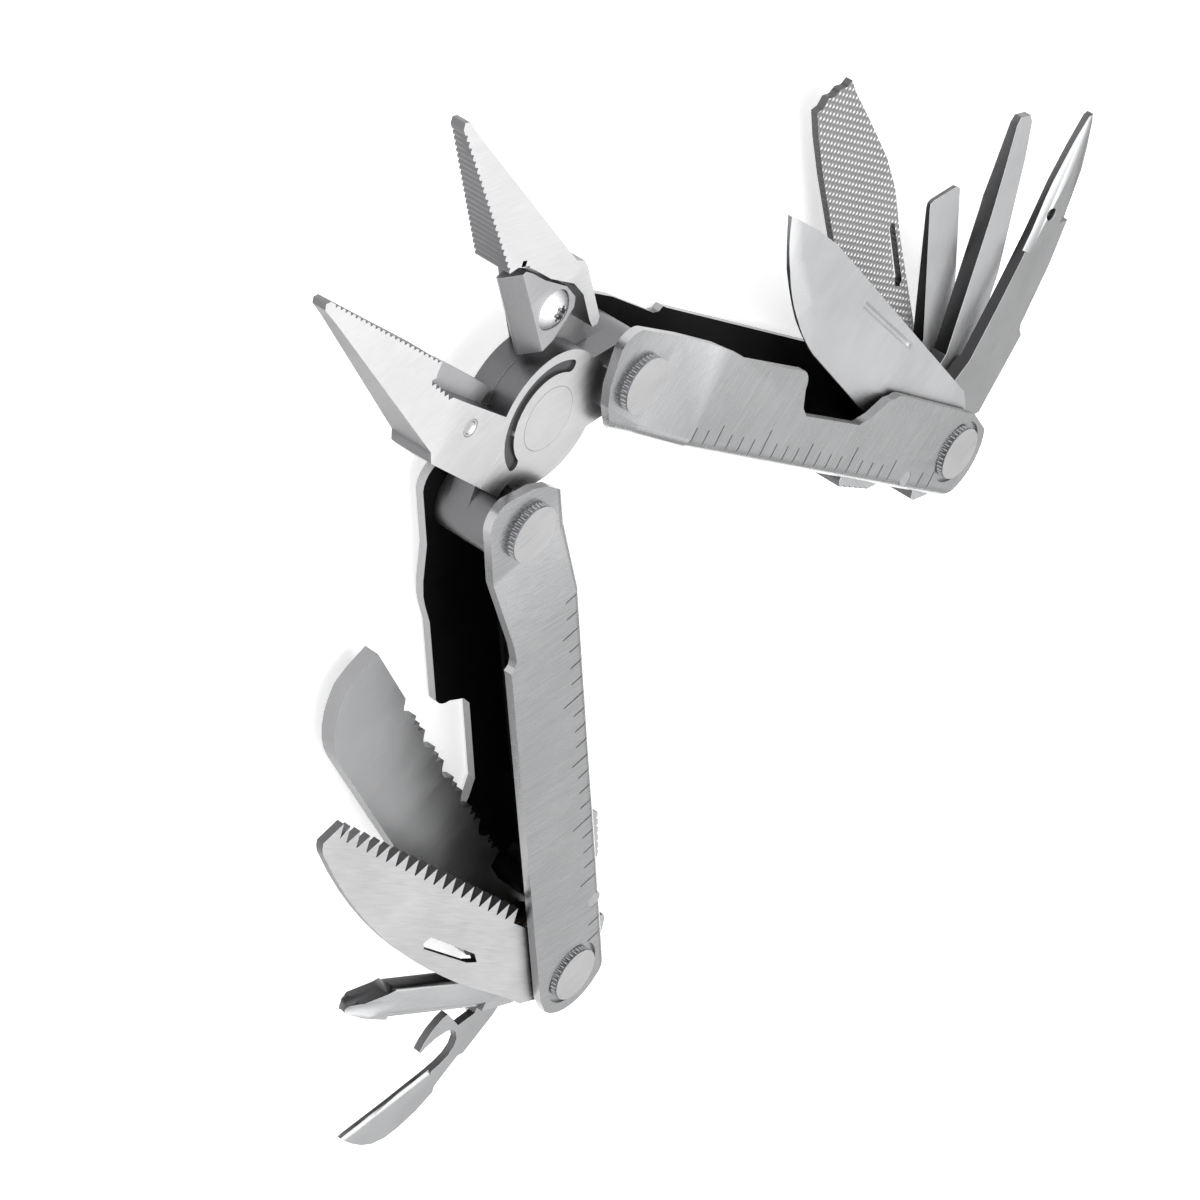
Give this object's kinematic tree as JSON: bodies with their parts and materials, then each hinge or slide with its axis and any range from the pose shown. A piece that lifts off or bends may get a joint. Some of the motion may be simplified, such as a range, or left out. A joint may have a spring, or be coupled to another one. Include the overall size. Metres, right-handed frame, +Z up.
{
  "type": "multi tool",
  "caption": "Butterfly plier multi tool: needle and pipe grip jaws with wire cutters, two folding channel handles, blades, saw, file, drivers, awl and can opener.",
  "frame": {"origin": "centre of the footprint at the height of the lower tool-pin caps, which the tool lies on", "axes": "+X from the handles to the jaw tips along the middle of the pliers, +Y towards the saw side handle, +Z up across the thickness"},
  "size_m": [0.1501, 0.1752, 0.0172],
  "materials": {
    "jaw_steel": "satin",
    "cutter_steel": "satin",
    "screw_steel": "satin",
    "handle_steel": "brushed",
    "pin_steel": "satin",
    "cap_steel": "satin",
    "washer_bronze": "satin",
    "lock_steel": "satin",
    "spring_steel": "satin",
    "blade_steel": "satin",
    "file_steel": "rough",
    "tool_steel": "satin"
  },
  "bodies": {
    "plier_head": {"top_jaw": "jaw_steel", "plier_rivet": "jaw_steel", "top_cutter": "cutter_steel", "top_cutter_screw": "screw_steel"},
    "under_jaw": {"under_jaw": "jaw_steel", "under_cutter": "cutter_steel", "under_cutter_screw": "screw_steel"},
    "knife_side_handle": {"knife_side_handle": "handle_steel", "knife_side_pins": "pin_steel", "knife_side_caps": "cap_steel", "knife_side_washers": "washer_bronze", "knife_side_lock_pin": "pin_steel", "knife_side_lock_spring": "spring_steel"},
    "saw_side_handle": {"saw_side_handle": "handle_steel", "saw_side_pins": "pin_steel", "saw_side_caps": "cap_steel", "saw_side_washers": "washer_bronze", "saw_side_lock_pin": "pin_steel", "saw_side_lock_spring": "spring_steel"},
    "knife_side_lock": {"knife_side_lock": "lock_steel"},
    "saw_side_lock": {"saw_side_lock": "lock_steel"},
    "knife": {"knife": "blade_steel"},
    "file": {"file": "file_steel"},
    "awl": {"awl": "tool_steel"},
    "large_driver": {"large_driver": "tool_steel"},
    "small_driver": {"small_driver": "tool_steel"},
    "saw": {"saw": "blade_steel"},
    "serrated_knife": {"serrated_knife": "blade_steel"},
    "phillips_driver": {"phillips_driver": "tool_steel"},
    "can_opener": {"can_opener": "tool_steel"}
  },
  "joints": [
    {"name": "plier_pivot", "type": "hinge", "parent": "plier_head", "child": "under_jaw", "pos_m": [0.0227, 0.0047, 0.0086], "axis": [0, 0, 1], "range_deg": [-4, 27]},
    {"name": "knife_side_handle_fold", "type": "hinge", "parent": "plier_head", "child": "knife_side_handle", "pos_m": [0.0149, -0.00699, 0.0086], "axis": [0, 0, 1], "range_deg": [0, 160]},
    {"name": "saw_side_handle_fold", "type": "hinge", "parent": "under_jaw", "child": "saw_side_handle", "pos_m": [0.0149, 0.01639, 0.0086], "axis": [0, 0, -1], "range_deg": [0, 160]},
    {"name": "knife_fold", "type": "hinge", "parent": "knife_side_handle", "child": "knife", "pos_m": [-0.06762, -0.04084, 0.0086], "axis": [0, 0, 1], "range_deg": [-164.4, 15.6]},
    {"name": "file_fold", "type": "hinge", "parent": "knife_side_handle", "child": "file", "pos_m": [-0.06762, -0.04084, 0.0086], "axis": [0, 0, 1], "range_deg": [-144.2, 35.8]},
    {"name": "awl_fold", "type": "hinge", "parent": "knife_side_handle", "child": "awl", "pos_m": [-0.06762, -0.04084, 0.0086], "axis": [0, 0, 1], "range_deg": [-84.7, 95.3]},
    {"name": "large_driver_fold", "type": "hinge", "parent": "knife_side_handle", "child": "large_driver", "pos_m": [-0.06762, -0.04084, 0.0086], "axis": [0, 0, 1], "range_deg": [-104, 76]},
    {"name": "small_driver_fold", "type": "hinge", "parent": "knife_side_handle", "child": "small_driver", "pos_m": [-0.06762, -0.04084, 0.0086], "axis": [0, 0, 1], "range_deg": [-123.2, 56.8]},
    {"name": "saw_fold", "type": "hinge", "parent": "saw_side_handle", "child": "saw", "pos_m": [-0.06762, 0.05024, 0.0086], "axis": [0, 0, -1], "range_deg": [-147.7, 32.3]},
    {"name": "serrated_knife_fold", "type": "hinge", "parent": "saw_side_handle", "child": "serrated_knife", "pos_m": [-0.06762, 0.05024, 0.0086], "axis": [0, 0, -1], "range_deg": [-162.6, 17.4]},
    {"name": "phillips_driver_fold", "type": "hinge", "parent": "saw_side_handle", "child": "phillips_driver", "pos_m": [-0.06762, 0.05024, 0.0086], "axis": [0, 0, -1], "range_deg": [-125.7, 54.3]},
    {"name": "can_opener_fold", "type": "hinge", "parent": "saw_side_handle", "child": "can_opener", "pos_m": [-0.06762, 0.05024, 0.0086], "axis": [0, 0, -1], "range_deg": [-73.3, 106.7]},
    {"name": "knife_side_lock_press", "type": "hinge", "parent": "knife_side_handle", "child": "knife_side_lock", "pos_m": [-0.05959, -0.0317, 0.0086], "axis": [0, 0, -1], "range_deg": [0, 2.5], "stiffness_Nm_per_rad": 0.4, "springref_deg": -2.86},
    {"name": "saw_side_lock_press", "type": "hinge", "parent": "saw_side_handle", "child": "saw_side_lock", "pos_m": [-0.05959, 0.0411, 0.0086], "axis": [0, 0, 1], "range_deg": [0, 2.5], "stiffness_Nm_per_rad": 0.4, "springref_deg": -2.86}
  ]
}
